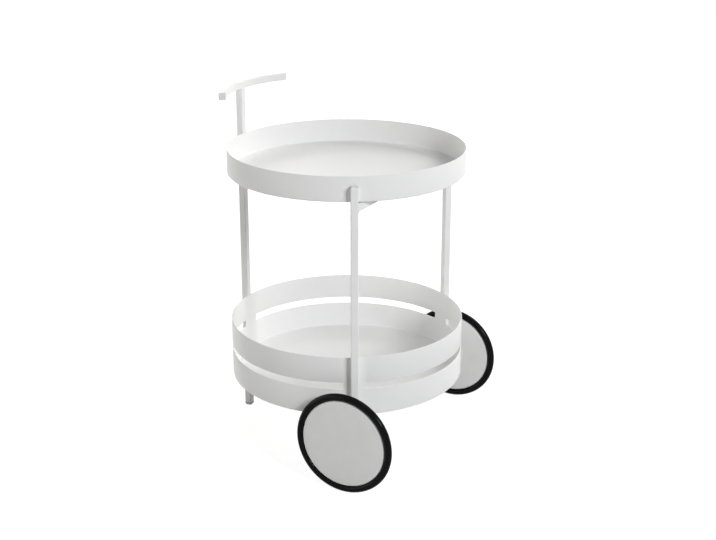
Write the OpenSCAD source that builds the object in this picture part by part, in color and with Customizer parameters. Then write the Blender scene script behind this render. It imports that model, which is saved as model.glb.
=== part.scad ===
// Round two-tier serving trolley.
// Two round sheet-steel trays stand one above the other between three square-tube posts.
// The rear post is also the third foot and carries a curved push handle.
// Each front post stands on the short axle of a large disc wheel.
// The upper tray lies loose on a T-shaped frame, the lower tray is bolted to a like frame.
// Origin: on the floor, below the middle of the overall box. +Z is up, X runs along
// the axle, -Y points to the wheels and +Y to the handle. Lengths are in millimetres.

/* [Trays] */
// Outer diameter of both trays
tray_d = 490; // [460:5:520]
// Sheet thickness of both trays
tray_sheet = 1.5; // [1:0.1:2]
// Outside radius of the bend between a tray's floor and its wall
tray_bend_r = 4; // [3:0.5:8]
// Underside of the upper tray above the floor
upper_tray_z = 583; // [540:1:620]
// Height of the upper tray
upper_tray_h = 51; // [42:1:65]
// Underside of the lower tray above the floor
lower_tray_z = 142; // [140:1:180]
// Height of the lower tray
lower_tray_h = 125; // [100:1:140]
// From the lower tray's rim down to the slots in its wall
slot_drop = 54; // [40:1:60]
// Height of the slots
slot_h = 14; // [8:1:20]
// Width of wall left between two slots, at each post
slot_bridge = 43; // [24:1:60]

/* [Posts and bars] */
// Side of the square tube
tube = 15; // [14:0.5:18]
// Wall of the square tube
tube_wall = 1.5; // [1:0.1:2]
// Outside corner radius of the square tube
tube_corner_r = 2; // [1.2:0.1:3]
// Gap between the trays and the posts
post_gap = 0.5; // [0.3:0.1:2]
// Angle between the two front posts, about the axis of the trays
front_post_angle = 117; // [105:1:125]
// How far the front posts reach up beside the upper tray
front_post_rise = 31; // [15:1:38]
// Gap left for the weld where two tubes meet
weld_gap = 0.05; // [0.02:0.01:0.2]

/* [Handle] */
// Top of the handle above the floor
handle_z = 744; // [720:1:820]
// Radius of the handle's bend, at the middle of the tube
handle_bend_r = 230; // [210:5:400]
// Angle over which the handle bends
handle_sweep = 64; // [30:1:70]

/* [Wheels] */
// Outer diameter of a wheel, with its tyre
wheel_d = 210; // [180:1:220]
// Diameter of the tyre's round section
tyre_d = 15; // [12:0.5:18]
// Thickness of the wheel disc
disc_t = 10; // [8:0.5:11]
// Bevel along the edges of the wheel disc
disc_edge = 3; // [0.5:0.5:3]
// Thickness of disc left in front of the axle pin's end
disc_skin = 3; // [2:0.5:4]
// Gap between the lower tray's widest part and a tyre
wheel_gap = 9; // [6:1:20]
// Diameter of the pocket in the disc for the axle pin's end
pocket_d = 26; // [24:1:32]

/* [Hubs] */
// Diameter of the hub's sleeve
hub_d = 24; // [20:1:26]
// Diameter of the hub's flange
hub_flange_d = 60; // [56:1:70]
// Thickness of the hub's flange
hub_flange_t = 4; // [3:0.5:5]
// Length of the hub, flange included
hub_l = 17; // [14:1:18]
// Thickness of the ribs between sleeve and flange
hub_rib_t = 2.5; // [1.5:0.5:4]
// Diameter of the circle on which the hub's screws stand
hub_screw_circle = 44; // [42:1:46]
// Thread diameter of the hub's screws
hub_screw_d = 4; // [3:0.5:5]
// Depth of the hub's screws in the disc
hub_screw_depth = 6; // [4:0.5:6]

/* [Axles] */
// Diameter of the axle pins
axle_d = 10; // [8:0.5:10]
// Outer diameter of the axle tubes
axle_tube_d = 16; // [16:0.5:20]
// Wall of the axle tubes
axle_tube_wall = 2; // [1.5:0.1:2]
// Length of the axle tubes
axle_tube_l = 60; // [50:1:80]
// Length of an axle pin's thicker end inside the axle tube
pin_seat_l = 14; // [8:1:20]
// Thickness of an axle pin's head
pin_head_t = 2; // [1.5:0.5:4]
// Radial running clearance of hubs and bushes on the axle pins
axle_fit = 0.05; // [0.02:0.01:0.1]
// Length of a bush inside the axle tube
bush_l = 14; // [8:1:25]
// Thickness of a bush's flange
bush_flange_t = 1.5; // [1:0.5:3]
// Outer diameter of the thrust washers
washer_d = 20; // [16:0.5:22]
// Thickness of the thrust washers
washer_t = 1; // [0.5:0.1:2]
// Side play on each side of a hub and of a thrust washer
side_play = 0.2; // [0.1:0.05:0.5]
// Outer diameter of the retaining rings
ring_d = 18; // [14:0.5:20]
// Thickness of the retaining rings
ring_t = 1.2; // [0.8:0.1:2]

/* [Plugs, foot and pads] */
// Thickness of the plug heads that close the open tube ends
plug_head_t = 2.5; // [1.5:0.5:5]
// Length of the plugs inside the tubes
plug_l = 14; // [8:1:30]
// Gap around a plug inside its tube
plug_gap = 0.1; // [0.05:0.05:0.3]
// Height of the foot below the rear post
foot_h = 6; // [4:0.5:12]
// Height of the foot's glide face
glide_h = 1; // [0.5:0.1:2]
// Inset of the foot's glide face from its sides
glide_inset = 0.8; // [0.4:0.1:2]
// Diameter of the pads under the upper tray
pad_d = 12; // [8:0.5:14]
// Thickness of the pads under the upper tray
pad_t = 1.5; // [1:0.5:4]

/* [Lower tray bolts] */
// Thread diameter of the studs below the lower tray
stud_d = 5; // [4:0.5:6]
// Radial clearance of the studs in the bars
stud_clearance = 0.25; // [0.1:0.05:0.5]
// Outer diameter of the stud washers
stud_washer_d = 10; // [9:0.5:14]
// Thickness of the stud washers
stud_washer_t = 1; // [0.8:0.1:2]
// Width across the flats of the dome nuts
nut_flats = 8; // [8:0.5:12]
// Height of the six-sided part of the dome nuts
nut_hex_h = 4; // [3:0.5:6]
// Distance of the outer studs and pads from the middle of the frame
fixing_reach = 150; // [110:5:170]

/* [Hidden] */

white = [0.93, 0.93, 0.92];
plug_white = [0.86, 0.86, 0.85];
foot_grey = [0.66, 0.66, 0.65];
tyre_black = [0.05, 0.05, 0.05];
nylon = [0.8, 0.8, 0.78];
steel = [0.7, 0.71, 0.72];

large_fn = 240;
round_fn = 96;
small_fn = 48;
overshoot = 1;

// Square tube
min_corner_r = 0.3;
inner_side = tube - 2 * tube_wall;
inner_corner_r = max(tube_corner_r - tube_wall, min_corner_r);

// Trays and posts
tray_r = tray_d / 2;
slot_overcut = 3;
post_r = tray_r + post_gap + tube / 2;
rear_angle = 90;
front_angles = [270 - front_post_angle / 2, 270 + front_post_angle / 2];
post_x = post_r * sin(front_post_angle / 2);
axle_y = -post_r * cos(front_post_angle / 2);
front_post_top = upper_tray_z + front_post_rise;
rear_post_top = handle_z - tube;

// Bars below the trays
upper_bar_z = upper_tray_z - pad_t - tube;
lower_bar_z = lower_tray_z - tube;
arm_y0 = axle_y + tube / 2 + weld_gap;
arm_y1 = post_r - tube / 2 - weld_gap;
arm_middle = (arm_y0 + arm_y1) / 2;
fixings = [[-fixing_reach, axle_y], [fixing_reach, axle_y], [0, arm_middle], [0, fixing_reach]];

// Wheels and axles
wheel_r = wheel_d / 2;
axle_z = wheel_r;
wheel_x = tray_r + wheel_gap + tyre_d / 2;
tyre_ring_r = wheel_r - tyre_d / 2;
tyre_fit = 0.05;
groove_r = tyre_d / 2 + tyre_fit;
groove_edge = disc_t / 2 - disc_edge;
disc_face_r = tyre_ring_r - sqrt(groove_r * groove_r - groove_edge * groove_edge) - disc_edge;
disc_back = wheel_x - disc_t / 2;
disc_front = wheel_x + disc_t / 2;
hub_inner = disc_back - hub_l;
tube_outer = hub_inner - 2 * side_play - washer_t - bush_flange_t;
tube_inner = tube_outer - axle_tube_l;
pin_end_gap = 1.5;
pin_chamfer = 0.8;
pin_end = disc_front - disc_skin - pin_end_gap;
axle_bore_r = axle_tube_d / 2 - axle_tube_wall;
press_fit = 0.02;
screw_fit = 0.05;
screw_end_gap = 1;
screw_angles = [45, 135, 225, 315];
rib_angles = [0, 90, 180, 270];
rib_setback = 1;

// Usual proportions of a button-head screw and of a dome nut
screw_head_d = hub_screw_d * 1.9;
screw_top_d = hub_screw_d * 1.3;
screw_head_h = hub_screw_d * 0.55;
screw_socket = hub_screw_d * 0.625;
screw_socket_depth = hub_screw_d * 0.35;
nut_dome_d = nut_flats * 0.94;
stud_end = stud_d / 4;
nut_hole_end = stud_d / 3;

// Middle of the overall box, seen from above
rear_reach = post_r + tube / 2;
front_reach = max(tray_r, wheel_r - axle_y);
box_shift_y = (front_reach - rear_reach) / 2;

// Moves what is drawn about the axis of the trays to the origin of the part
module on_origin() {
    translate([0, box_shift_y, 0])
        children();
}

// Puts what is drawn for the right side on the left side
module on_left() {
    mirror([1, 0, 0])
        children();
}

// Stands what is drawn about Z at one post, with +X pointing away from the trays
module at_post(angle) {
    rotate([0, 0, angle])
        translate([post_r, 0, 0])
            children();
}

// Lays what is drawn about Z along the axle, with Z measured from the middle plane
module along_axle() {
    translate([0, axle_y, axle_z])
        rotate([0, 90, 0])
            children();
}

// Square with round corners
module round_square(side, corner_r) {
    square([side, side - 2 * corner_r], center = true);
    square([side - 2 * corner_r, side], center = true);
    for (x = [-1, 1], y = [-1, 1])
        translate([x * (side / 2 - corner_r), y * (side / 2 - corner_r)])
            circle(r = corner_r, $fn = small_fn);
}

// Section of the square tube
module tube_section() {
    difference() {
        round_square(tube, tube_corner_r);
        round_square(inner_side, inner_corner_r);
    }
}

// Upright piece of square tube between two heights
module upright(bottom, top) {
    translate([0, 0, bottom])
        linear_extrude(top - bottom)
            tube_section();
}

// The room that a post and its weld take out of a bar
module post_room(angle, bottom) {
    at_post(angle)
        translate([0, 0, bottom - overshoot])
            linear_extrude(tube + 2 * overshoot)
                round_square(tube + 2 * weld_gap, tube_corner_r + weld_gap);
}

module rear_post() {
    color(white)
        on_origin()
            at_post(rear_angle)
                upright(foot_h, rear_post_top - weld_gap);
}

// The lower end is coped over its axle tube
module front_post(angle) {
    color(white)
        on_origin()
            difference() {
                at_post(angle)
                    upright(axle_z, front_post_top);
                along_axle()
                    cylinder(d = axle_tube_d + 2 * weld_gap, h = 2 * tray_r, center = true, $fn = round_fn);
            }
}

module left_front_post() {
    front_post(front_angles[0]);
}

module right_front_post() {
    front_post(front_angles[1]);
}

// Stands what is drawn in the handle's section plane at one angle of its bend
module at_handle(angle) {
    translate([0, post_r - handle_bend_r, handle_z - tube / 2])
        rotate([0, 0, rear_angle + angle])
            children();
}

module handle_bar() {
    color(white)
        on_origin()
            at_handle(-handle_sweep / 2)
                rotate_extrude(angle = handle_sweep, $fn = large_fn)
                    translate([handle_bend_r, 0])
                        tube_section();
}

// Plug for a square tube that ends at height 0: its head lies above, its body below
module tube_plug(head_t, body_l, gap) {
    linear_extrude(head_t)
        round_square(tube, tube_corner_r);
    translate([0, 0, -body_l])
        linear_extrude(body_l)
            round_square(inner_side - 2 * gap, inner_corner_r);
}

// The body is short and slim, so that it stays clear of the bend in the tube
module right_handle_end() {
    body_l = plug_l / 2;
    bend_gap = plug_gap + body_l * body_l / (2 * handle_bend_r - tube);
    on_origin()
        at_handle(-handle_sweep / 2)
            translate([handle_bend_r, 0, 0])
                rotate([90, 0, 0])
                    tube_plug(plug_head_t, body_l, bend_gap);
}

module right_handle_plug() {
    color(plug_white)
        right_handle_end();
}

module left_handle_plug() {
    color(plug_white)
        on_left()
            right_handle_end();
}

module post_cap(angle) {
    color(plug_white)
        on_origin()
            at_post(angle)
                translate([0, 0, front_post_top])
                    tube_plug(plug_head_t, plug_l, plug_gap);
}

module left_post_cap() {
    post_cap(front_angles[0]);
}

module right_post_cap() {
    post_cap(front_angles[1]);
}

module rear_foot() {
    color(foot_grey)
        on_origin()
            at_post(rear_angle) {
                translate([0, 0, foot_h])
                    mirror([0, 0, 1])
                        tube_plug(foot_h - glide_h, plug_l, plug_gap);
                linear_extrude(glide_h)
                    round_square(tube - 2 * glide_inset, tube_corner_r);
            }
}

// Bar between the two front posts
module cross_bar(bottom) {
    difference() {
        translate([-post_x, axle_y, bottom + tube / 2])
            rotate([0, 90, 0])
                linear_extrude(2 * post_x)
                    tube_section();
        for (angle = front_angles)
            post_room(angle, bottom);
    }
}

// Arm from the rear post to the middle of the cross bar
module arm(bottom) {
    translate([0, arm_y1, bottom + tube / 2])
        rotate([90, 0, 0])
            linear_extrude(arm_y1 - arm_y0)
                tube_section();
}

// Holes through the lower bars for the tray's studs
module stud_holes() {
    for (place = fixings)
        translate([place[0], place[1], lower_bar_z - overshoot])
            cylinder(r = stud_d / 2 + stud_clearance, h = tube + 2 * overshoot, $fn = small_fn);
}

module upper_cross_bar() {
    color(white)
        on_origin()
            cross_bar(upper_bar_z);
}

module upper_arm() {
    color(white)
        on_origin()
            arm(upper_bar_z);
}

module lower_cross_bar() {
    color(white)
        on_origin()
            difference() {
                cross_bar(lower_bar_z);
                stud_holes();
            }
}

module lower_arm() {
    color(white)
        on_origin()
            difference() {
                arm(lower_bar_z);
                stud_holes();
            }
}

// Section of a tray: floor, bend, wall and rounded rim
module tray_section(height) {
    square([tray_r - tray_bend_r, tray_sheet]);
    translate([tray_r - tray_bend_r, tray_bend_r])
        intersection() {
            difference() {
                circle(r = tray_bend_r, $fn = small_fn);
                circle(r = tray_bend_r - tray_sheet, $fn = small_fn);
            }
            translate([0, -tray_bend_r])
                square(tray_bend_r);
        }
    translate([tray_r - tray_sheet, tray_bend_r])
        square([tray_sheet, height - tray_bend_r - tray_sheet / 2]);
    translate([tray_r - tray_sheet / 2, height - tray_sheet / 2])
        circle(d = tray_sheet, $fn = small_fn);
}

module upper_tray() {
    color(white)
        on_origin()
            translate([0, 0, upper_tray_z])
                rotate_extrude($fn = large_fn)
                    tray_section(upper_tray_h);
}

// Slot in the lower tray's wall from one post to the next, less half a bridge at each end
module wall_slot(from_angle, to_angle) {
    half_bridge = slot_bridge / 2 / tray_r * 180 / PI;
    rotate([0, 0, from_angle + half_bridge])
        rotate_extrude(angle = to_angle - from_angle - 2 * half_bridge, $fn = large_fn)
            translate([tray_r - tray_sheet - slot_overcut, lower_tray_h - slot_drop - slot_h])
                square([tray_sheet + 2 * slot_overcut, slot_h]);
}

module lower_tray() {
    color(white)
        on_origin()
            translate([0, 0, lower_tray_z])
                difference() {
                    rotate_extrude($fn = large_fn)
                        tray_section(lower_tray_h);
                    wall_slot(rear_angle, front_angles[0]);
                    wall_slot(front_angles[0], front_angles[1]);
                    wall_slot(front_angles[1], rear_angle + 360);
                }
}

module upper_tray_pads() {
    color(nylon)
        on_origin()
            for (place = fixings)
                translate([place[0], place[1], upper_bar_z + tube])
                    cylinder(d = pad_d, h = pad_t, $fn = small_fn);
}

module lower_tray_studs() {
    stud_l = tube + stud_washer_t + nut_hex_h + stud_end;
    color(steel)
        on_origin()
            for (place = fixings)
                translate([place[0], place[1], lower_tray_z - stud_l])
                    cylinder(d = stud_d, h = stud_l, $fn = small_fn);
}

module lower_tray_washers() {
    color(steel)
        on_origin()
            for (place = fixings)
                translate([place[0], place[1], lower_bar_z - stud_washer_t])
                    difference() {
                        cylinder(d = stud_washer_d, h = stud_washer_t, $fn = small_fn);
                        translate([0, 0, -overshoot])
                            cylinder(r = stud_d / 2 + stud_clearance, h = stud_washer_t + 2 * overshoot,
                                     $fn = small_fn);
                    }
}

// Dome nut, open at height 0 and domed below
module dome_nut() {
    difference() {
        union() {
            translate([0, 0, -nut_hex_h])
                cylinder(d = nut_flats / cos(30), h = nut_hex_h, $fn = 6);
            translate([0, 0, -nut_hex_h])
                sphere(d = nut_dome_d, $fn = small_fn);
        }
        translate([0, 0, -nut_hex_h - nut_hole_end])
            cylinder(r = stud_d / 2 + press_fit, h = nut_hex_h + nut_hole_end + overshoot, $fn = small_fn);
        cylinder(d = 2 * nut_flats, h = nut_dome_d);
    }
}

module lower_tray_nuts() {
    color(steel)
        on_origin()
            for (place = fixings)
                translate([place[0], place[1], lower_bar_z - stud_washer_t])
                    dome_nut();
}

// Short tube that a front post stands on
module axle_tube() {
    on_origin()
        along_axle()
            translate([0, 0, tube_inner])
                difference() {
                    cylinder(d = axle_tube_d, h = axle_tube_l, $fn = round_fn);
                    translate([0, 0, -overshoot])
                        cylinder(r = axle_bore_r, h = axle_tube_l + 2 * overshoot, $fn = round_fn);
                }
}

module right_axle_tube() {
    color(white)
        axle_tube();
}

module left_axle_tube() {
    color(white)
        on_left()
            axle_tube();
}

// Pin for a wheel: its head and its thicker end sit in the inner end of the axle tube
module axle_pin() {
    on_origin()
        along_axle() {
            translate([0, 0, tube_inner - pin_head_t])
                cylinder(d = axle_tube_d, h = pin_head_t, $fn = round_fn);
            translate([0, 0, tube_inner - pin_head_t])
                cylinder(r = axle_bore_r - press_fit, h = pin_head_t + pin_seat_l, $fn = round_fn);
            translate([0, 0, tube_inner])
                cylinder(d = axle_d, h = pin_end - pin_chamfer - tube_inner, $fn = round_fn);
            translate([0, 0, pin_end - pin_chamfer])
                cylinder(d1 = axle_d, d2 = axle_d - 2 * pin_chamfer, h = pin_chamfer, $fn = round_fn);
        }
}

module right_axle_pin() {
    color(steel)
        axle_pin();
}

module left_axle_pin() {
    color(steel)
        on_left()
            axle_pin();
}

// Flanged bush in the outer end of the axle tube
module axle_bush() {
    on_origin()
        along_axle()
            translate([0, 0, tube_outer])
                difference() {
                    union() {
                        cylinder(d = axle_tube_d, h = bush_flange_t, $fn = round_fn);
                        translate([0, 0, -bush_l])
                            cylinder(r = axle_bore_r - press_fit, h = bush_l, $fn = round_fn);
                    }
                    translate([0, 0, -bush_l - overshoot])
                        cylinder(r = axle_d / 2 + axle_fit, h = bush_l + bush_flange_t + 2 * overshoot,
                                 $fn = round_fn);
                }
}

module right_axle_bush() {
    color(nylon)
        axle_bush();
}

module left_axle_bush() {
    color(nylon)
        on_left()
            axle_bush();
}

// Flat ring on the axle pin, from a given distance from the middle plane
module axle_ring(start, outer_d, thickness, fit) {
    on_origin()
        along_axle()
            translate([0, 0, start])
                difference() {
                    cylinder(d = outer_d, h = thickness, $fn = round_fn);
                    translate([0, 0, -overshoot])
                        cylinder(r = axle_d / 2 + fit, h = thickness + 2 * overshoot, $fn = round_fn);
                }
}

module thrust_washer() {
    axle_ring(hub_inner - side_play - washer_t, washer_d, washer_t, axle_fit);
}

module retaining_ring() {
    axle_ring(disc_back + side_play, ring_d, ring_t, press_fit);
}

module right_thrust_washer() {
    color(steel)
        thrust_washer();
}

module left_thrust_washer() {
    color(steel)
        on_left()
            thrust_washer();
}

module right_retaining_ring() {
    color(steel)
        retaining_ring();
}

module left_retaining_ring() {
    color(steel)
        on_left()
            retaining_ring();
}

// Round plate with bevelled edges, thick enough in the middle for the tyre's groove
module disc_blank() {
    for (face = [0, 1])
        mirror([0, 0, face])
            cylinder(r1 = disc_face_r + disc_t / 2, r2 = disc_face_r, h = disc_t / 2, $fn = large_fn);
}

// The plate with the tyre's groove and a blind pocket for the axle pin's end
module wheel_disc() {
    on_origin()
        along_axle()
            translate([0, 0, wheel_x])
                difference() {
                    disc_blank();
                    rotate_extrude($fn = large_fn)
                        translate([tyre_ring_r, 0])
                            circle(r = groove_r, $fn = small_fn);
                    translate([0, 0, -disc_t / 2 - overshoot])
                        cylinder(d = pocket_d, h = disc_t - disc_skin + overshoot, $fn = round_fn);
                    for (angle = screw_angles)
                        rotate([0, 0, angle])
                            translate([hub_screw_circle / 2, 0, -disc_t / 2 - overshoot])
                                cylinder(r = hub_screw_d / 2 + screw_fit, h = hub_screw_depth + overshoot,
                                         $fn = small_fn);
                }
}

module tyre() {
    on_origin()
        along_axle()
            translate([0, 0, wheel_x])
                rotate_extrude($fn = large_fn)
                    translate([tyre_ring_r, 0])
                        circle(d = tyre_d, $fn = small_fn);
}

// Sleeve on the axle pin with a ribbed flange against the disc
module hub() {
    on_origin()
        along_axle()
            difference() {
                union() {
                    translate([0, 0, hub_inner])
                        cylinder(d = hub_d, h = hub_l, $fn = round_fn);
                    translate([0, 0, disc_back - hub_flange_t])
                        cylinder(d = hub_flange_d, h = hub_flange_t, $fn = round_fn);
                    for (angle = rib_angles)
                        rotate([0, 0, angle])
                            hub_rib();
                }
                translate([0, 0, hub_inner - overshoot])
                    cylinder(r = axle_d / 2 + axle_fit, h = hub_l + 2 * overshoot, $fn = round_fn);
                for (angle = screw_angles)
                    rotate([0, 0, angle])
                        translate([hub_screw_circle / 2, 0, disc_back - hub_flange_t - overshoot])
                            cylinder(r = hub_screw_d / 2 + screw_fit, h = hub_flange_t + 2 * overshoot,
                                     $fn = small_fn);
            }
}

// Triangular rib, from inside the sleeve out to the flange's edge
module hub_rib() {
    rib_h = hub_l - hub_flange_t - rib_setback;
    translate([0, hub_rib_t / 2, disc_back - hub_flange_t])
        rotate([90, 0, 0])
            linear_extrude(hub_rib_t)
                polygon([[hub_d / 2 - overshoot, overshoot], [hub_flange_d / 2 - overshoot, overshoot],
                         [hub_flange_d / 2 - overshoot, 0], [hub_d / 2, -rib_h],
                         [hub_d / 2 - overshoot, -rib_h]]);
}

// Button-head screws that hold the hub on the disc
module hub_screws() {
    on_origin()
        along_axle()
            for (angle = screw_angles)
                rotate([0, 0, angle])
                    translate([hub_screw_circle / 2, 0, disc_back - hub_flange_t])
                        difference() {
                            union() {
                                cylinder(d = hub_screw_d, h = hub_flange_t + hub_screw_depth - screw_end_gap,
                                         $fn = small_fn);
                                translate([0, 0, -screw_head_h])
                                    cylinder(d1 = screw_top_d, d2 = screw_head_d, h = screw_head_h,
                                             $fn = small_fn);
                            }
                            translate([0, 0, -screw_head_h - overshoot])
                                cylinder(d = screw_socket / cos(30), h = screw_socket_depth + overshoot,
                                         $fn = 6);
                        }
}

module right_wheel_disc() {
    color(white)
        wheel_disc();
}

module left_wheel_disc() {
    color(white)
        on_left()
            wheel_disc();
}

module right_tyre() {
    color(tyre_black)
        tyre();
}

module left_tyre() {
    color(tyre_black)
        on_left()
            tyre();
}

module right_hub() {
    color(nylon)
        hub();
}

module left_hub() {
    color(nylon)
        on_left()
            hub();
}

module right_hub_screws() {
    color(steel)
        hub_screws();
}

module left_hub_screws() {
    color(steel)
        on_left()
            hub_screws();
}

rear_post();
left_front_post();
right_front_post();
handle_bar();
left_handle_plug();
right_handle_plug();
left_post_cap();
right_post_cap();
rear_foot();
upper_cross_bar();
upper_arm();
lower_cross_bar();
lower_arm();
upper_tray();
upper_tray_pads();
lower_tray();
lower_tray_studs();
lower_tray_washers();
lower_tray_nuts();
left_axle_tube();
right_axle_tube();
left_axle_pin();
right_axle_pin();
left_axle_bush();
right_axle_bush();
left_thrust_washer();
right_thrust_washer();
left_retaining_ring();
right_retaining_ring();
left_wheel_disc();
right_wheel_disc();
left_tyre();
right_tyre();
left_hub();
right_hub();
left_hub_screws();
right_hub_screws();
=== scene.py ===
from math import asin, atan2, cos, degrees, pi, radians, sin, sqrt, tau

import bmesh
import bpy
from mathutils import Matrix, Vector


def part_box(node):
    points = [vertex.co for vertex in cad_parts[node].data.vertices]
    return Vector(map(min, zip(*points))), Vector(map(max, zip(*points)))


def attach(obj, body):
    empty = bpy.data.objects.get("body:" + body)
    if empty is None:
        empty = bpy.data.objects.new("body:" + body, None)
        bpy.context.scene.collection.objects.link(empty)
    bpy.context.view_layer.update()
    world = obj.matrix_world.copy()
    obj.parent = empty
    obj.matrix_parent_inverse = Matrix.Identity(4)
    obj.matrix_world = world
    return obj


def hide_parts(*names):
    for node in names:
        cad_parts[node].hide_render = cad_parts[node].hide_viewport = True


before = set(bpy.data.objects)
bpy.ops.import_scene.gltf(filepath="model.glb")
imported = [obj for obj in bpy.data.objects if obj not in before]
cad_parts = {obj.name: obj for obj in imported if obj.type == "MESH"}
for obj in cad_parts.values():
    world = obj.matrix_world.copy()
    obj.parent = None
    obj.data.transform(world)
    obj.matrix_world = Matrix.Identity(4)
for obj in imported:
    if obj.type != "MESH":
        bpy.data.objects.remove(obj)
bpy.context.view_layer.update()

# Serving trolley: white powder-coated steel, black tyres. Lengths are in metres.
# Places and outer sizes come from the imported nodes, and the rest is named here.


def middle(node):
    """Middle of a node's box."""
    low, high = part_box(node)
    return (Vector(low) + Vector(high)) / 2


def extent(node):
    """Size of a node's box."""
    low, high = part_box(node)
    return Vector(high) - Vector(low)


# Trays
TRAY_AXIS_Y = middle("upper_tray").y
TRAY_R = extent("upper_tray").x / 2
TRAY_SHEET = 0.0015
TRAY_BEND_R = 0.004
TRAY_STEPS = 360
SLOT_DROP = 0.054
SLOT_HEIGHT = 0.014
SLOT_BRIDGE = 0.043
SLOT_BEVEL = 0.0004

# Square tubes
TUBE = extent("rear_post").x
TUBE_CORNER_R = 0.002
POST_R = middle("rear_post").y - TRAY_AXIS_Y
REAR_ANGLE = pi / 2
FRONT_Y = middle("right_front_post").y
RIGHT_ANGLE = atan2(FRONT_Y - TRAY_AXIS_Y, middle("right_front_post").x)
LEFT_ANGLE = pi - RIGHT_ANGLE
WELD_R = 0.0013

# Handle, plugs and foot. A soft edge is a list of distances, from the plug's end or from the
# floor, each with how much narrower than the tube the section is there.
HANDLE_R = 0.23
HANDLE_HALF_SWEEP = radians(32)
HANDLE_STEPS = 48
PLUG_HEAD = 0.0025
PLUG_EDGE = ((0.0012, 0.0), (0.0006, 0.0007), (0.0001, 0.0022), (0.0, 0.0042))
FOOT_EDGE = ((0.0, 0.0026), (0.0004, 0.0018), (0.001, 0.0016), (0.0012, 0.0006), (0.0018, 0.0))

# Wheels and axles. The mould line's stop, the disc edge's stop and the groove's trim are the
# degrees by which an arc ends short.
AXLE_Y = middle("right_axle_tube").y
AXLE_Z = middle("right_axle_tube").z
WHEEL_X = middle("right_tyre").x
WHEEL_R = extent("right_tyre").z / 2
WHEEL_STEPS = 240
TYRE_R = extent("right_tyre").x / 2
TYRE_RING_R = WHEEL_R - TYRE_R
MOULD_LINE_HALF = 0.0002
MOULD_LINE_HEIGHT = 0.00015
MOULD_LINE_STOP = 3
DISC_HALF = extent("right_wheel_disc").x / 2
DISC_EDGE = 0.003
DISC_EDGE_STOP = 8
GROOVE_TRIM = 2
POCKET_R = 0.013
POCKET_DEPTH = 0.007
AXLE_R = 0.005
AXLE_TUBE_R = extent("right_axle_tube").z / 2
AXLE_TUBE_WALL = 0.002
BUSH_FLANGE_T = 0.0015
RUNNING_FIT = 0.00005
PRESS_FIT = 0.00002
HUB_SLEEVE_R = 0.012
HUB_FLANGE_R = extent("right_hub").z / 2
HUB_FLANGE_T = 0.004
HUB_EDGE_R = 0.0006
HUB_FILLET_R = 0.0012
HUB_RIB_T = 0.0025
HUB_RIB_SETBACK = 0.001
HUB_RIB_INSET = 0.0012
HUB_SCREW_CIRCLE_R = 0.022
SCREW_R = 0.002
SCREW_ANGLES = [radians(a) for a in (45, 135, 225, 315)]
RIB_ANGLES = [radians(a) for a in (0, 90, 180, 270)]

# Fixings
FIXING_REACH = 0.15
PAD_R = 0.006
PAD_EDGE_R = 0.0009
STUD_R = 0.0025
WASHER_R = 0.005
WASHER_PLAY = 0.00025
NUT_HALF_FLATS = 0.004
NUT_HEX_H = 0.004
NUT_CHAMFER = 0.0004
NUT_DOME_R = 0.94 * NUT_HALF_FLATS

# Broken edges, the angle from which an edge is bevelled, and the parts of a large circle, a
# small one, a hexagonal outline and a tube's round corner
EDGE = 0.0003
FINE_EDGE = 0.00015
SHARP = radians(50)
ROUND = 96
RING = 48
HEX_STEPS = 72
CORNER = 6

# Camera, from a fit to the edges seen in the photograph
IMAGE_WIDTH = 716
SENSOR_WIDTH = 36
FOCAL_PIXELS = 1307.0
CAMERA_DISTANCE = 2.6079
CAMERA_SIDE = 0.0237
CAMERA_HEIGHT = 1.2714
CAMERA_PITCH = 0.3349
CAMERA_REACH = 100
REAR_POST_BEARING = radians(152.36)

# Floor: how much light it gives back to the object, and what the camera sees, which is a pale
# surface that takes the shadow and a glow that grows with the distance from the middle
FLOOR_R = 20
FLOOR_BOUNCE = 0.62
FLOOR_SHADE = 0.3
FLOOR_GLOW = {"From Min": 0.5, "From Max": 1.2, "To Min": 0.88, "To Max": 1.0}

# Lamps: name, degrees to the right of the camera and above the floor, distance from the target,
# width, height, watts, colour
LAMP_TARGET = (0, 0, 0.4)
COOL = (0.975, 0.98, 1.0)
WARM = (1.0, 0.994, 0.957)
LAMPS = (
    ("key", 31, 27, 4.0, 0.3, 1.0, 62, COOL),
    ("key_right", 42, 27, 4.0, 0.3, 1.0, 35, COOL),
    ("left_fill", -70, 8, 3.5, 2.5, 2.5, 35, WARM),
    ("left_side", -105, 20, 4.0, 3.0, 3.0, 37, WARM),
    ("back_right", 130, 35, 4.0, 3.0, 3.0, 110, WARM),
    ("back_left", -160, 20, 4.0, 2.5, 1.5, 38, WARM),
    ("top", 0, 85, 4.0, 3.0, 3.0, 12, WARM),
)


# Mesh helpers


def square_outline(side, corner_r, flat_parts=4):
    """Points (u, v) around a square with round corners and divided sides."""
    half = side / 2
    inner = half - corner_r
    points = []
    for quarter in range(4):
        start = quarter * pi / 2
        turn = Matrix.Rotation(start, 2)
        for i in range(CORNER + 1):
            a = i / CORNER * pi / 2
            points.append(turn @ Vector((inner + corner_r * cos(a), inner + corner_r * sin(a))))
        for i in range(1, flat_parts):
            points.append(turn @ Vector((inner - 2 * inner * i / flat_parts, half)))
    return points


def loft(rings):
    """Points and faces of a closed skin through rings of equally many points."""
    count = len(rings[0])
    points = [p for ring in rings for p in ring]
    faces = []
    for i in range(len(rings) - 1):
        for j in range(count):
            k = (j + 1) % count
            faces.append((i * count + j, i * count + k, (i + 1) * count + k, (i + 1) * count + j))
    faces.append(tuple(reversed(range(count))))
    faces.append(tuple(range((len(rings) - 1) * count, len(rings) * count)))
    return points, faces


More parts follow.
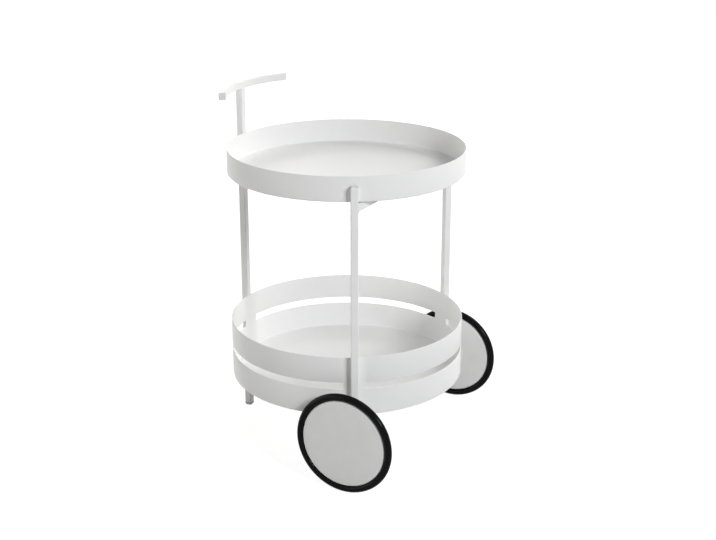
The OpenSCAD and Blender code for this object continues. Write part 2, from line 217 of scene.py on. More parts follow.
def arc(centre_r, centre_h, radius, start, end, parts=8):
    """Points (r, h) on an arc, angles in degrees."""
    angles = [radians(start + (end - start) * i / parts) for i in range(parts + 1)]
    return [(centre_r + radius * cos(a), centre_h + radius * sin(a)) for a in angles]


def between(profile, here, there, skip=()):
    """Faces between two copies of a closed profile of (radius, height), narrowed at the axis."""
    faces = []
    for j in range(len(profile)):
        k = (j + 1) % len(profile)
        corners = [here + j, here + k]
        if profile[k][0] > 0:
            corners.append(there + k)
        if profile[j][0] > 0:
            corners.append(there + j)
        if len(corners) > 2 and j not in skip:
            faces.append(tuple(corners))
    return faces


def turned(profile, place, steps=ROUND):
    """Points and faces of a closed profile of (radius, height) turned full circle."""
    count = len(profile)
    points = [place(r, h, tau * i / steps) for i in range(steps) for r, h in profile]
    faces = []
    for i in range(steps):
        faces += between(profile, i * count, (i + 1) % steps * count)
    return points, faces


def joined(parts):
    """Points and faces of several (points, faces) pairs as one."""
    points, faces = [], []
    for more_points, more_faces in parts:
        shift = len(points)
        points += more_points
        faces += [tuple(i + shift for i in face) for face in more_faces]
    return points, faces


def piece(name, shape, material, body, slot, *nodes, bevel=0, smooth=35):
    """Makes a piece of the object from points and faces, sets it on its body and hides the nodes it
    stands for. The slot is not used.
    """
    mesh = bpy.data.meshes.new(name)
    points, faces = shape
    mesh.from_pydata([tuple(p) for p in points], [], faces)
    work = bmesh.new()
    work.from_mesh(mesh)
    bmesh.ops.remove_doubles(work, verts=work.verts, dist=1e-7)
    bmesh.ops.recalc_face_normals(work, faces=work.faces)
    if bevel:
        sharp = [e for e in work.edges if len(e.link_faces) == 2 and e.calc_face_angle() > SHARP]
        bmesh.ops.bevel(work, geom=sharp, offset=bevel, segments=2, profile=0.5, affect="EDGES",
                        clamp_overlap=True)
    work.to_mesh(mesh)
    work.free()
    mesh.shade_smooth()
    mesh.set_sharp_from_angle(angle=radians(smooth))
    mesh.materials.append(material)
    made = bpy.data.objects.new(name, mesh)
    bpy.context.collection.objects.link(made)
    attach(made, body)
    if nodes:
        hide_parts(*nodes)
    return made


def about_trays(radius, height, angle):
    """Point about the axis of the trays."""
    return Vector((radius * cos(angle), TRAY_AXIS_Y + radius * sin(angle), height))


def about_axle(side):
    """Gives the function that places a point about the axle: height runs along it, outwards."""
    def place(radius, height, angle):
        return Vector((side * height, AXLE_Y + radius * cos(angle), AXLE_Z + radius * sin(angle)))
    return place


def upright_at(x, y):
    """Gives the function that places a point about a vertical axis."""
    def place(radius, height, angle):
        return Vector((x + radius * cos(angle), y + radius * sin(angle), height))
    return place


# Materials


def new_material(name, colour, roughness, metallic=0.0):
    """A material with its shader and the object's own coordinates."""
    material = bpy.data.materials.new(name)
    material.use_nodes = True
    tree = material.node_tree
    shader = tree.nodes["Principled BSDF"]
    shader.inputs["Base Color"].default_value = (*colour, 1)
    shader.inputs["Roughness"].default_value = roughness
    shader.inputs["Metallic"].default_value = metallic
    place = tree.nodes.new("ShaderNodeTexCoord").outputs["Object"]
    return material, tree, shader, place


def noise(tree, place, scale, detail=2.0):
    """Noise with features of about 1 / scale metres."""
    node = tree.nodes.new("ShaderNodeTexNoise")
    node.inputs["Scale"].default_value = scale
    node.inputs["Detail"].default_value = detail
    tree.links.new(place, node.inputs["Vector"])
    return node.outputs["Fac"]


def vary_colour(tree, shader, factor, dark, light):
    """Lets the colour wander between two close tones."""
    ramp = tree.nodes.new("ShaderNodeValToRGB")
    ramp.color_ramp.elements[0].position = 0.3
    ramp.color_ramp.elements[1].position = 0.7
    ramp.color_ramp.elements[0].color = (*dark, 1)
    ramp.color_ramp.elements[1].color = (*light, 1)
    tree.links.new(factor, ramp.inputs["Fac"])
    tree.links.new(ramp.outputs["Color"], shader.inputs["Base Color"])
    return ramp


def vary_roughness(tree, shader, factor, low, high):
    """Lets the roughness wander between two values."""
    spread = tree.nodes.new("ShaderNodeMapRange")
    spread.inputs["From Min"].default_value = 0.3
    spread.inputs["From Max"].default_value = 0.7
    spread.inputs["To Min"].default_value = low
    spread.inputs["To Max"].default_value = high
    tree.links.new(factor, spread.inputs["Value"])
    tree.links.new(spread.outputs["Result"], shader.inputs["Roughness"])


def bump(tree, shader, factor, depth, strength=1.0):
    """Fine relief of a given depth in metres."""
    node = tree.nodes.new("ShaderNodeBump")
    node.inputs["Strength"].default_value = strength
    node.inputs["Distance"].default_value = depth
    tree.links.new(factor, node.inputs["Height"])
    tree.links.new(node.outputs["Normal"], shader.inputs["Normal"])


def shade(colour, factor):
    """The colour, lighter or darker."""
    return tuple(c * factor for c in colour)


def powder_coat(name, colour):
    """Matt powder coat: orange peel of 1 to 2 mm, faint clouds and uneven gloss."""
    material, tree, shader, place = new_material(name, colour, 0.42)
    shader.inputs["Specular IOR Level"].default_value = 0.2
    vary_colour(tree, shader, noise(tree, place, 9), shade(colour, 0.985), shade(colour, 1.0))
    vary_roughness(tree, shader, noise(tree, place, 60), 0.38, 0.46)
    bump(tree, shader, noise(tree, place, 700, 1.0), 0.00002)
    return material


def moulded_plastic(name, colour, roughness, grain=0.00002):
    """Moulded plastic with a fine spark-eroded grain."""
    material, tree, shader, place = new_material(name, colour, roughness)
    vary_colour(tree, shader, noise(tree, place, 30), shade(colour, 0.97), colour)
    vary_roughness(tree, shader, noise(tree, place, 200), roughness - 0.04, roughness + 0.04)
    bump(tree, shader, noise(tree, place, 2500, 1.0), grain)
    return material


def tyre_rubber(name):
    """Black rubber with a thin sheen, fine grain and a little dust in broad patches."""
    colour = (0.004, 0.004, 0.0042)
    material, tree, shader, place = new_material(name, colour, 0.12)
    shader.inputs["Specular IOR Level"].default_value = 0.04
    shader.inputs["Coat Weight"].default_value = 0.03
    shader.inputs["Coat Roughness"].default_value = 0.08
    vary_colour(tree, shader, noise(tree, place, 45, 5.0), colour, (0.006, 0.006, 0.0059))
    vary_roughness(tree, shader, noise(tree, place, 120, 3.0), 0.1, 0.15)
    bump(tree, shader, noise(tree, place, 1600), 0.00001)
    return material


def zinc_steel(name):
    """Bright zinc plating with a faint crystalline mottle."""
    material, tree, shader, place = new_material(name, (0.6, 0.61, 0.62), 0.3, metallic=1.0)
    vary_colour(tree, shader, noise(tree, place, 500, 4.0), (0.54, 0.55, 0.56), (0.66, 0.67, 0.68))
    vary_roughness(tree, shader, noise(tree, place, 900, 3.0), 0.24, 0.38)
    bump(tree, shader, noise(tree, place, 1500), 0.00001)
    return material


def soft_pad(name):
    """Clear soft plastic of the pads, a little milky."""
    material, tree, shader, place = new_material(name, (0.8, 0.8, 0.78), 0.25)
    shader.inputs["Transmission Weight"].default_value = 0.4
    vary_roughness(tree, shader, noise(tree, place, 300), 0.2, 0.32)
    return material


WHITE = (0.86, 0.86, 0.857)
tray_coat = powder_coat("tray_powder_coat", WHITE)
frame_coat = powder_coat("frame_powder_coat", WHITE)
disc_coat = moulded_plastic("disc_plastic", (0.8, 0.8, 0.795), 0.5)
tyre_black = tyre_rubber("tyre_rubber")
plug_white = moulded_plastic("plug_plastic", (0.8, 0.8, 0.795), 0.45)
foot_grey = moulded_plastic("foot_plastic", (0.5, 0.5, 0.495), 0.5)
nylon = moulded_plastic("natural_nylon", (0.72, 0.71, 0.67), 0.38)
pad_clear = soft_pad("clear_pad")
zinc = zinc_steel("zinc_plated_steel")


# Trays


def tray_profile(bottom, height, marks=()):
    """Closed section of a tray, with extra points on the wall at the given heights.

    Returns the points and, for each mark, the pair of points outside and inside the wall.
    """
    outer, inner = TRAY_R, TRAY_R - TRAY_SHEET
    lip = bottom + height - TRAY_SHEET / 2
    rings = [r * (TRAY_R - TRAY_BEND_R) for r in (0.0, 0.25, 0.5, 0.75, 0.92)]
    profile = [(r, bottom) for r in rings]
    profile += arc(TRAY_R - TRAY_BEND_R, bottom + TRAY_BEND_R, TRAY_BEND_R, -90, 0)
    outside = [len(profile) + i for i in range(len(marks))]
    profile += [(outer, m) for m in marks]
    profile += arc(TRAY_R - TRAY_SHEET / 2, lip, TRAY_SHEET / 2, 0, 180)
    inside = [len(profile) + i for i in range(len(marks))]
    profile += [(inner, m) for m in reversed(marks)]
    profile += arc(TRAY_R - TRAY_BEND_R, bottom + TRAY_BEND_R, TRAY_BEND_R - TRAY_SHEET, 0, -90)
    profile += [(r, bottom + TRAY_SHEET) for r in reversed(rings)]
    return profile, outside, list(reversed(inside))


def sector_angles(borders, step):
    """Angles round the circle that include every border, at most a step apart."""
    angles = []
    for i, start in enumerate(borders):
        end = borders[(i + 1) % len(borders)]
        span = (end - start) % tau or tau
        parts = max(1, round(span / step))
        angles += [start + span * k / parts for k in range(parts)]
    return angles


def tray_shape(node, slots=()):
    """Points and faces of a tray, with a slot in its wall over each (start, end) of angles."""
    low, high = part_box(node)
    marks = ()
    if slots:
        top = high[2] - SLOT_DROP
        marks = (top - SLOT_HEIGHT, top)
    profile, outside, inside = tray_profile(low[2], high[2] - low[2], marks)
    count = len(profile)
    borders = sorted(a % tau for slot in slots for a in slot) or [0.0]
    angles = sector_angles(borders, tau / TRAY_STEPS)
    points = [about_trays(r, h, a) for a in angles for r, h in profile]

    def in_slot(angle):
        return any(0 < (angle - start) % tau < (end - start) % tau for start, end in slots)

    columns = len(angles)
    states = []
    for i in range(columns):
        a, b = angles[i], angles[(i + 1) % columns]
        states.append(in_slot(a + ((b - a) % tau) / 2))
    faces = []
    for i in range(columns):
        here, there = i * count, (i + 1) % columns * count
        faces += between(profile, here, there, (outside[0], inside[1]) if states[i] else ())
        if states[i]:
            for near, far in zip(outside, inside):
                faces.append((here + near, there + near, there + far, here + far))
        if states[i] != states[i - 1]:
            faces.append(tuple(here + i for i in (*outside, *reversed(inside))))
    return points, faces


def make_trays():
    """Both trays, the lower one with a slot between each pair of posts."""
    half = SLOT_BRIDGE / 2 / TRAY_R
    posts = [REAR_ANGLE, LEFT_ANGLE, RIGHT_ANGLE + tau, REAR_ANGLE + tau]
    slots = [(start + half, end - half) for start, end in zip(posts, posts[1:])]
    piece("upper_tray_shell", tray_shape("upper_tray"), tray_coat, "serving_tray", "tray_coat",
          "upper_tray")
    piece("lower_tray_shell", tray_shape("lower_tray", slots), tray_coat, "frame", "tray_coat",
          "lower_tray", bevel=SLOT_BEVEL)


# Posts, bars and handle


def post_outline(angle, side=TUBE, corner_r=TUBE_CORNER_R):
    """Outline of a post from above, as (x, y), for the post at an angle about the trays."""
    centre = Vector((POST_R * cos(angle), TRAY_AXIS_Y + POST_R * sin(angle)))
    turn = Matrix.Rotation(angle, 2)
    return [centre + turn @ p for p in square_outline(side, corner_r)]


def coped(y):
    """Height at which a front post meets the axle tube."""
    across = min(abs(y - AXLE_Y), AXLE_TUBE_R)
    return AXLE_Z + sqrt(AXLE_TUBE_R ** 2 - across ** 2)


def make_posts():
    """The three posts. The front ones end on the axle tubes, with a weld there."""
    low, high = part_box("rear_post")
    ends = [(low[2], -2 * EDGE), (low[2] + EDGE, 0), (high[2], 0)]
    rings = []
    for z, grow in ends:
        rings.append([p.to_3d() + Vector((0, 0, z)) for p in post_outline(REAR_ANGLE, TUBE + grow)])
    piece("rear_post_tube", loft(rings), frame_coat, "frame", "frame_coat", "rear_post")
    for name, angle in (("left", LEFT_ANGLE), ("right", RIGHT_ANGLE)):
        node = name + "_front_post"
        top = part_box(node)[1][2]
        outline = post_outline(angle)
        foot = [Vector((p.x, p.y, coped(p.y))) for p in outline]
        rings = [foot, [Vector((p.x, p.y, top - EDGE)) for p in outline]]
        rings.append([Vector((p.x, p.y, top)) for p in post_outline(angle, TUBE - 2 * EDGE)])
        piece(node + "_tube", loft(rings), frame_coat, "frame", "frame_coat", node)
        weld(name + "_post_to_axle_weld", foot)


def post_face(y):
    """Distance from the middle plane at which a cross bar's side meets a front post."""
    across = y - FRONT_Y
    half = TUBE / 2
    c, s = cos(RIGHT_ANGLE), sin(RIGHT_ANGLE)
    first = (-half - across * s) / c
    second = (-half - across * c) / -s
    return POST_R * c + max(first, second)


def make_bars():
    """Under each tray, a bar between the front posts and an arm from it to the rear post."""
    for level in ("upper", "lower"):
        node = level + "_cross_bar"
        centre = middle(node)
        outline = square_outline(TUBE, TUBE_CORNER_R, 12)
        right = [Vector((post_face(centre.y + u), centre.y + u, centre.z + v)) for u, v in outline]
        left = [Vector((-p.x, p.y, p.z)) for p in right]
        piece(level + "_cross_tube", loft([left, right]), frame_coat, "frame", "frame_coat", node)
        weld(level + "_bar_weld_right", right)
        weld(level + "_bar_weld_left", left)
        node = level + "_arm"
        centre = middle(node)
        low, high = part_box(node)
        rings = [[Vector((u, y, centre.z + v)) for u, v in square_outline(TUBE, TUBE_CORNER_R)]
                 for y in (low[1], high[1])]
        piece(level + "_arm_tube", loft(rings), frame_coat, "frame", "frame_coat", node)
        weld(level + "_arm_weld_front", rings[0])
        weld(level + "_arm_weld_rear", rings[1])


def weld(name, path):
    """Bead of weld along a closed path, under the coating."""
    curve = bpy.data.curves.new(name, "CURVE")
    curve.dimensions = "3D"
    curve.bevel_depth = WELD_R
    curve.bevel_resolution = 2
    spline = curve.splines.new("POLY")
    spline.points.add(len(path) - 1)
    for point, p in zip(spline.points, path):
        point.co = (*p, 1)
    spline.use_cyclic_u = True
    carrier = bpy.data.objects.new(name, curve)
    bpy.context.collection.objects.link(carrier)
    shape = carrier.to_mesh()
    points = [v.co.copy() for v in shape.vertices]
    faces = [tuple(face.vertices) for face in shape.polygons]
    carrier.to_mesh_clear()
    bpy.data.objects.remove(carrier)
    piece(name, (points, faces), frame_coat, "frame", "frame_coat", smooth=80)


def handle_ring(angle, side, corner_r):
    """Section of the handle at an angle from its middle, to the right."""
    low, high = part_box("handle_bar")
    height = (low[2] + high[2]) / 2
    centre_y = TRAY_AXIS_Y + POST_R - HANDLE_R
    ring = []
    for u, v in square_outline(side, corner_r):
        radius = HANDLE_R + u
        ring.append(Vector((radius * sin(angle), centre_y + radius * cos(angle), height + v)))
    return ring


def make_handle():
    """The bent tube and its weld on the rear post."""
    angles = [HANDLE_HALF_SWEEP * (2 * i / HANDLE_STEPS - 1) for i in range(HANDLE_STEPS + 1)]
    small = EDGE / HANDLE_R
    rings = [handle_ring(angles[0], TUBE - 2 * EDGE, TUBE_CORNER_R)]
    rings.append(handle_ring(angles[0] + small, TUBE, TUBE_CORNER_R))
    rings += [handle_ring(a, TUBE, TUBE_CORNER_R) for a in angles[1:-1]]
    rings.append(handle_ring(angles[-1] - small, TUBE, TUBE_CORNER_R))
    rings.append(handle_ring(angles[-1], TUBE - 2 * EDGE, TUBE_CORNER_R))
    piece("handle_tube", loft(rings), frame_coat, "frame", "frame_coat", "handle_bar")
    low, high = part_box("handle_bar")
    outline = post_outline(REAR_ANGLE)
    weld("handle_weld", [Vector((p.x, min(p.y, high[1] - WELD_R), low[2])) for p in outline])


def plug_rings(place):
    """Rings of a plug's head, with a soft edge, from the tube outwards."""
    steps = [(0.0, TUBE - 2 * EDGE), (EDGE, TUBE)]
    steps += [(PLUG_HEAD - down, TUBE - less) for down, less in PLUG_EDGE]
    return [[place(u, v, h) for u, v in square_outline(side, TUBE_CORNER_R)] for h, side in steps]


def make_plugs():
    """The caps of the front posts, the plugs of the handle and the foot."""
    for name, angle in (("left", LEFT_ANGLE), ("right", RIGHT_ANGLE)):
        node = name + "_post_cap"
        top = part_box(name + "_front_post")[1][2]
        centre = about_trays(POST_R, 0, angle)
        turn = Matrix.Rotation(angle, 3, "Z")
        rings = plug_rings(lambda u, v, h: centre + turn @ Vector((u, v, top + h)))
        piece(node + "_head", loft(rings), plug_white, "frame", "plug_plastic", node)
    low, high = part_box("handle_bar")
    height = (low[2] + high[2]) / 2
    centre_y = TRAY_AXIS_Y + POST_R - HANDLE_R
    for name, side in (("left", -1), ("right", 1)):
        angle = side * HANDLE_HALF_SWEEP
        outward = Vector((sin(angle), cos(angle), 0))
        along = Vector((side * cos(angle), -side * sin(angle), 0))
        centre = Vector((0, centre_y, height)) + HANDLE_R * outward
        rings = plug_rings(lambda u, v, h: centre + u * outward + h * along + Vector((0, 0, v)))
        piece(name + "_handle_plug_head", loft(rings), plug_white, "frame", "plug_plastic",
              name + "_handle_plug")
    make_foot()


def make_foot():
    """The rear post's foot, a little narrower where it stands on the floor."""
    centre = middle("rear_foot")
    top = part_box("rear_post")[0][2]
    steps = [(z, TUBE - less) for z, less in FOOT_EDGE]
    steps += [(top - EDGE, TUBE), (top, TUBE - 2 * EDGE)]
    rings = [[Vector((centre.x + u, centre.y + v, z))
              for u, v in square_outline(side, TUBE_CORNER_R)] for z, side in steps]
    piece("rear_foot_cap", loft(rings), foot_grey, "frame", "foot_plastic", "rear_foot")


# Fixings below the trays


def fixings():
    """Places of the pads and studs, from above."""
    low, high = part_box("upper_arm")
    arm_middle = (low[1] + high[1]) / 2
    return [(-FIXING_REACH, FRONT_Y), (FIXING_REACH, FRONT_Y), (0.0, arm_middle),
            (0.0, TRAY_AXIS_Y + FIXING_REACH)]


def ring_profile(inner, outer, low, high, edge=EDGE):
    """Closed section of a flat ring with broken edges."""
    return [(inner, low + edge), (inner + edge, low), (outer - edge, low), (outer, low + edge),
            (outer, high - edge), (outer - edge, high), (inner + edge, high), (inner, high - edge)]


def make_pads():
    """Soft pads between the upper tray and its bars."""
    low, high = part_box("upper_tray_pads")
    profile = [(0.0, low[2]), (PAD_R, low[2])]
    profile += arc(PAD_R - PAD_EDGE_R, high[2] - PAD_EDGE_R, PAD_EDGE_R, 0, 90, 4)
    profile += [(0.0, high[2])]
    parts = [turned(profile, upright_at(x, y), RING) for x, y in fixings()]
    piece("upper_tray_bumpers", joined(parts), pad_clear, "frame", "pad_rubber", "upper_tray_pads")


def hexagon_radius(angle, half_flats):
    """Radius of a six-sided outline at an angle."""
    return half_flats / cos((angle + pi / 6) % (pi / 3) - pi / 6)


def dome_nut(x, y, top, bottom):
    """Dome nut below a bar: chamfered hexagon above, dome below."""
    shoulder = top - NUT_HEX_H
    corner = NUT_HALF_FLATS / cos(pi / 6)

    def ring(z, limit):
        made = []
        for i in range(HEX_STEPS):
            a = tau * i / HEX_STEPS
            r = min(hexagon_radius(a, NUT_HALF_FLATS), limit)
            made.append(Vector((x + r * cos(a), y + r * sin(a), z)))
        return made

    rings = [ring(top, NUT_HALF_FLATS), ring(top - NUT_CHAMFER, corner),
             ring(shoulder + NUT_CHAMFER, corner), ring(shoulder, NUT_HALF_FLATS)]
    reach = shoulder - bottom
    for rise in range(8, 89, 10):
        a = radians(rise)
        rings.append(ring(shoulder - reach * sin(a), NUT_DOME_R * cos(a)))
    return loft(rings)


def make_fixings():
    """Washers and dome nuts on the lower tray's studs."""
    low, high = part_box("lower_tray_washers")
    profile = ring_profile(STUD_R + WASHER_PLAY, WASHER_R, low[2], high[2], FINE_EDGE)
    rings = [turned(profile, upright_at(x, y), RING) for x, y in fixings()]
    piece("lower_tray_washer_rings", joined(rings), zinc, "frame", "zinc_steel",
          "lower_tray_washers")
    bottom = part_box("lower_tray_nuts")[0][2]
    nuts = [dome_nut(x, y, low[2], bottom) for x, y in fixings()]
    piece("lower_tray_dome_nuts", joined(nuts), zinc, "frame", "zinc_steel", "lower_tray_nuts",
          smooth=25)


# Axles and wheels


def make_axles():
    """Axle tubes, bushes, thrust washers and retaining rings of both sides."""
    bore = AXLE_R + RUNNING_FIT
    tube_bore = AXLE_TUBE_R - AXLE_TUBE_WALL
    barrel = tube_bore - PRESS_FIT
    for name, side in (("left", -1), ("right", 1)):
        place = about_axle(side)
        start, end = side_span(name + "_axle_tube")
        tube = turned(ring_profile(tube_bore, AXLE_TUBE_R, start, end), place)
        piece(name + "_axle_tube_coated", tube, frame_coat, "frame", "frame_coat",
              name + "_axle_tube")
        start, end = side_span(name + "_axle_bush")
        flange = end - BUSH_FLANGE_T
        profile = [(bore, start + EDGE), (bore + EDGE, start), (tube_bore - EDGE, start),
                   (barrel, start + EDGE), (barrel, flange), (AXLE_TUBE_R - EDGE, flange),
                   (AXLE_TUBE_R, flange + EDGE), (AXLE_TUBE_R, end - EDGE),
                   (AXLE_TUBE_R - EDGE, end), (bore + EDGE, end), (bore, end - EDGE)]
        piece(name + "_bush_moulding", turned(profile, place), nylon, "frame", "nylon",
              name + "_axle_bush")
        for node, inner in (("_thrust_washer", bore), ("_retaining_ring", AXLE_R + PRESS_FIT)):
            start, end = side_span(name + node)
            outer = extent(name + node).z / 2
            ring = turned(ring_profile(inner, outer, start, end, FINE_EDGE), place)
            piece(name + node + "_plated", ring, zinc, "frame", "zinc_steel", name + node)


def side_span(node):
    """Where a node starts and ends along the axle, measured outwards from the middle plane."""
    low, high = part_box(node)
    return sorted((abs(low[0]), abs(high[0])))


def disc_section():
    """Closed section of a wheel disc, groove and pocket included."""
    back, front = WHEEL_X - DISC_HALF, WHEEL_X + DISC_HALF
    groove_r = TYRE_R + RUNNING_FIT
    reach = degrees(asin((DISC_HALF - DISC_EDGE) / groove_r))
    face_r = TYRE_RING_R - groove_r * cos(radians(reach)) - DISC_EDGE
    groove_start, groove_end = 180 - reach + GROOVE_TRIM, 180 + reach - GROOVE_TRIM
    profile = [(r * face_r, front) for r in (0.0, 0.35, 0.7)]
    profile += arc(face_r, front - DISC_EDGE, DISC_EDGE, 90, DISC_EDGE_STOP, 7)
    profile += arc(TYRE_RING_R, WHEEL_X, groove_r, groove_start, groove_end, 14)
    profile += arc(face_r, back + DISC_EDGE, DISC_EDGE, -DISC_EDGE_STOP, -90, 7)
    profile += [(POCKET_R + EDGE, back), (POCKET_R, back + EDGE), (POCKET_R, back + POCKET_DEPTH)]
    profile += [(0.0, back + POCKET_DEPTH)]
    return profile


def tyre_section():
    """Closed section of a tyre, with the fine parting line of its mould round the tread."""
    crown = TYRE_RING_R + TYRE_R
    tread = arc(TYRE_RING_R, WHEEL_X, TYRE_R - MOULD_LINE_HEIGHT, MOULD_LINE_STOP,
                360 - MOULD_LINE_STOP, 44)
    return tread + [(crown, WHEEL_X - MOULD_LINE_HALF), (crown, WHEEL_X + MOULD_LINE_HALF)]


def hub_shape(side):
    """Hub with its flange, sleeve and four ribs."""
    place = about_axle(side)
    inner, outer = side_span("right_hub")
    bore = AXLE_R + RUNNING_FIT
    flange = outer - HUB_FLANGE_T
    profile = [(bore, inner + EDGE), (bore + EDGE, inner)]
    profile += arc(HUB_SLEEVE_R - HUB_EDGE_R, inner + HUB_EDGE_R, HUB_EDGE_R, -90, 0, 4)
    profile += arc(HUB_SLEEVE_R + HUB_FILLET_R, flange - HUB_FILLET_R, HUB_FILLET_R, 180, 90, 5)
    profile += arc(HUB_FLANGE_R - HUB_EDGE_R, flange + HUB_EDGE_R, HUB_EDGE_R, -90, 0, 4)
    profile += [(HUB_FLANGE_R, outer), (bore + EDGE, outer), (bore, outer - EDGE)]
    parts = [turned(profile, place)]
    rise = inner + HUB_RIB_SETBACK
    half = HUB_RIB_T / 2
    sunk, toe = 0.0005, 0.0002
    tip = HUB_FLANGE_R - HUB_RIB_INSET
    corners = [(HUB_SLEEVE_R - sunk, flange + sunk), (tip, flange + sunk), (tip, flange - toe),
               (HUB_SLEEVE_R + HUB_EDGE_R, rise), (HUB_SLEEVE_R - sunk, rise)]
    layers = ((-half, EDGE), (-half + EDGE, 0), (half - EDGE, 0), (half, EDGE))
    for angle in RIB_ANGLES:
        along = Vector((0, cos(angle), sin(angle)))
        across = Vector((0, -sin(angle), cos(angle)))
        rings = []
        for offset, shrink in layers:
            ring = []
            for r, h in corners:
                h = max(h, rise + shrink) if h < flange else h
                r = min(r, tip - shrink)
                spot = r * along + offset * across
                ring.append(Vector((side * h, AXLE_Y + spot.y, AXLE_Z + spot.z)))
            rings.append(ring)
        parts.append(loft(rings))
    return joined(parts)


def screw_shape(side, angle):
    """Button-head screw with a hexagon socket, seen from the hub's inner side."""
    base = side_span("right_hub")[1] - HUB_FLANGE_T
    head_r, head_h, top_r = 1.9 * SCREW_R, 1.1 * SCREW_R, 1.3 * SCREW_R
    socket, depth, chamfer = 0.625 * SCREW_R, 0.7 * SCREW_R, 1.12
    rim, skirt, lip, relief = 0.0006, 0.0003, 0.0002, 0.0001
    top = base - head_h
    centre = (AXLE_Y + HUB_SCREW_CIRCLE_R * cos(angle), AXLE_Z + HUB_SCREW_CIRCLE_R * sin(angle))

    def ring(h, radius=None, flats=None, limit=None):
        made = []
        for i in range(HEX_STEPS):
            a = tau * i / HEX_STEPS
            r = radius
            if flats:
                r = hexagon_radius(a, flats)
            if limit:
                r = max(r, limit)
            made.append(Vector((side * h, centre[0] + r * cos(a), centre[1] + r * sin(a))))
        return made

    rings = [ring(top + depth, flats=socket), ring(top + lip, flats=socket),
             ring(top, flats=socket, limit=chamfer * socket)]
    dome = 6
    for k in range(dome + 1):
        a = pi / 2 * k / dome
        r = top_r - rim + (head_r - top_r + rim) * sin(a)
        rings.append(ring(top + (head_h - skirt) * (1 - cos(a)), r))
    rings.append(ring(base, head_r - relief))
    rings.append(ring(base, SCREW_R))
    rings.append(ring(side_span("right_hub_screws")[1], SCREW_R - relief))
    return loft(rings)


def make_wheels():
    """Disc, tyre, hub and hub screws of both wheels."""
    for name, side in (("left", -1), ("right", 1)):
        place = about_axle(side)
        body = name + "_wheel"
        piece(name + "_wheel_plate", turned(disc_section(), place, WHEEL_STEPS), disc_coat, body,
              "disc_coat", name + "_wheel_disc")
        piece(name + "_tyre_ring", turned(tyre_section(), place, WHEEL_STEPS), tyre_black, body,
              "tyre_rubber", name + "_tyre")
        piece(name + "_hub_moulding", hub_shape(side), nylon, body, "nylon", name + "_hub")
        screws = [screw_shape(side, angle) for angle in SCREW_ANGLES]
        piece(name + "_hub_button_screws", joined(screws), zinc, body, "zinc_steel",
              name + "_hub_screws", smooth=25)


def finish_kept_nodes():
    """Nodes that stay as they are get the finished material."""
    for node in ("left_axle_pin", "right_axle_pin", "lower_tray_studs"):
        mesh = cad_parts[node].data
        mesh.materials.clear()
        mesh.materials.append(zinc)


# Camera, floor and light


def make_camera():
    """The photograph's camera, without shift. Gives the turn from its axes to the world's."""
    turn = Matrix.Rotation(REAR_ANGLE - REAR_POST_BEARING, 3, "Z")
    place = turn @ Vector((CAMERA_SIDE, -CAMERA_DISTANCE, CAMERA_HEIGHT))
    place.y += TRAY_AXIS_Y
    forward = turn @ Vector((0, cos(CAMERA_PITCH), -sin(CAMERA_PITCH)))
    camera = bpy.data.objects.new("camera", bpy.data.cameras.new("camera"))
    camera.data.sensor_fit = "HORIZONTAL"
    camera.data.sensor_width = SENSOR_WIDTH
    camera.data.lens = FOCAL_PIXELS / IMAGE_WIDTH * SENSOR_WIDTH
    camera.data.clip_end = CAMERA_REACH
    camera.location = place
    camera.rotation_euler = forward.to_track_quat("-Z", "Y").to_euler()
    bpy.context.collection.objects.link(camera)
    bpy.context.scene.camera = camera
    return turn


def seen_directly(tree):
    """1 for rays from the camera and for those seen in gloss or glass."""
    path = tree.nodes.new("ShaderNodeLightPath")
    first = tree.nodes.new("ShaderNodeMath")
    first.operation = "MAXIMUM"
    second = tree.nodes.new("ShaderNodeMath")
    second.operation = "MAXIMUM"
    tree.links.new(path.outputs["Is Camera Ray"], first.inputs[0])
    tree.links.new(path.outputs["Is Glossy Ray"], first.inputs[1])
    tree.links.new(first.outputs[0], second.inputs[0])
    tree.links.new(path.outputs["Is Transmission Ray"], second.inputs[1])
    return second.outputs[0]


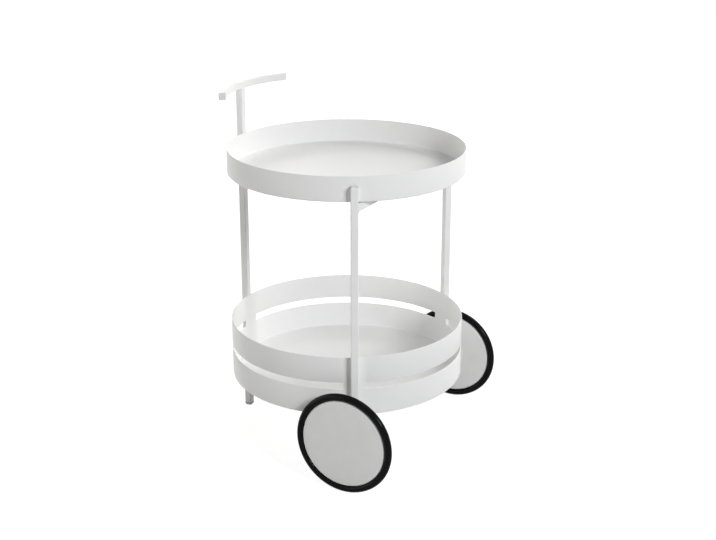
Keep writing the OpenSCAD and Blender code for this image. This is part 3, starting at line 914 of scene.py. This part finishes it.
def make_floor():
    """Pale floor that shows as white, with the trolley's shadow on it."""
    angles = [tau * i / ROUND for i in range(ROUND)]
    points = [Vector((0, 0, 0))] + [Vector((FLOOR_R * cos(a), FLOOR_R * sin(a), 0)) for a in angles]
    faces = [(0, i + 1, (i + 1) % ROUND + 1) for i in range(ROUND)]
    mesh = bpy.data.meshes.new("floor")
    mesh.from_pydata(points, [], faces)
    floor = bpy.data.objects.new("floor", mesh)
    bpy.context.collection.objects.link(floor)
    material = bpy.data.materials.new("floor")
    material.use_nodes = True
    tree = material.node_tree
    tree.nodes.clear()
    plain = tree.nodes.new("ShaderNodeBsdfDiffuse")
    plain.inputs["Color"].default_value = (FLOOR_BOUNCE, FLOOR_BOUNCE, FLOOR_BOUNCE, 1)
    shadow = tree.nodes.new("ShaderNodeBsdfDiffuse")
    shadow.inputs["Color"].default_value = (FLOOR_SHADE, FLOOR_SHADE, FLOOR_SHADE, 1)
    place = tree.nodes.new("ShaderNodeTexCoord")
    distance = tree.nodes.new("ShaderNodeVectorMath")
    distance.operation = "LENGTH"
    strength = tree.nodes.new("ShaderNodeMapRange")
    for socket, value in FLOOR_GLOW.items():
        strength.inputs[socket].default_value = value
    glow = tree.nodes.new("ShaderNodeEmission")
    shown = tree.nodes.new("ShaderNodeAddShader")
    mix = tree.nodes.new("ShaderNodeMixShader")
    out = tree.nodes.new("ShaderNodeOutputMaterial")
    tree.links.new(place.outputs["Object"], distance.inputs[0])
    tree.links.new(distance.outputs["Value"], strength.inputs["Value"])
    tree.links.new(strength.outputs[0], glow.inputs["Strength"])
    tree.links.new(shadow.outputs[0], shown.inputs[0])
    tree.links.new(glow.outputs[0], shown.inputs[1])
    tree.links.new(seen_directly(tree), mix.inputs[0])
    tree.links.new(plain.outputs[0], mix.inputs[1])
    tree.links.new(shown.outputs[0], mix.inputs[2])
    tree.links.new(mix.outputs[0], out.inputs[0])
    mesh.materials.append(material)


def make_world():
    """White all round where it is seen, and no light of its own."""
    world = bpy.data.worlds.new("studio")
    bpy.context.scene.world = world
    world.use_nodes = True
    tree = world.node_tree
    background = tree.nodes["Background"]
    background.inputs["Color"].default_value = (1, 1, 1, 1)
    tree.links.new(seen_directly(tree), background.inputs["Strength"])


def soft_light(turn, name, to_right, rise, distance, width, height, watts, colour):
    """Lamp placed by its angles, in degrees, to the right of the camera and above the floor."""
    data = bpy.data.lights.new(name, "AREA")
    data.shape = "RECTANGLE"
    data.size, data.size_y = width, height
    data.energy = watts
    data.color = colour
    lamp = bpy.data.objects.new(name, data)
    bearing, rise = radians(to_right), radians(rise)
    target = Vector(LAMP_TARGET)
    away = Vector((sin(bearing) * cos(rise), -cos(bearing) * cos(rise), sin(rise)))
    lamp.location = target + distance * (turn @ away)
    lamp.rotation_euler = (target - lamp.location).to_track_quat("-Z", "Y").to_euler()
    bpy.context.collection.objects.link(lamp)


def main():
    """Builds the scene."""
    turn = make_camera()
    make_floor()
    make_world()
    for lamp in LAMPS:
        soft_light(turn, *lamp)
    make_trays()
    make_posts()
    make_bars()
    make_handle()
    make_plugs()
    make_pads()
    make_fixings()
    make_axles()
    make_wheels()
    finish_kept_nodes()
    bpy.context.scene.view_settings.view_transform = "Standard"


main()
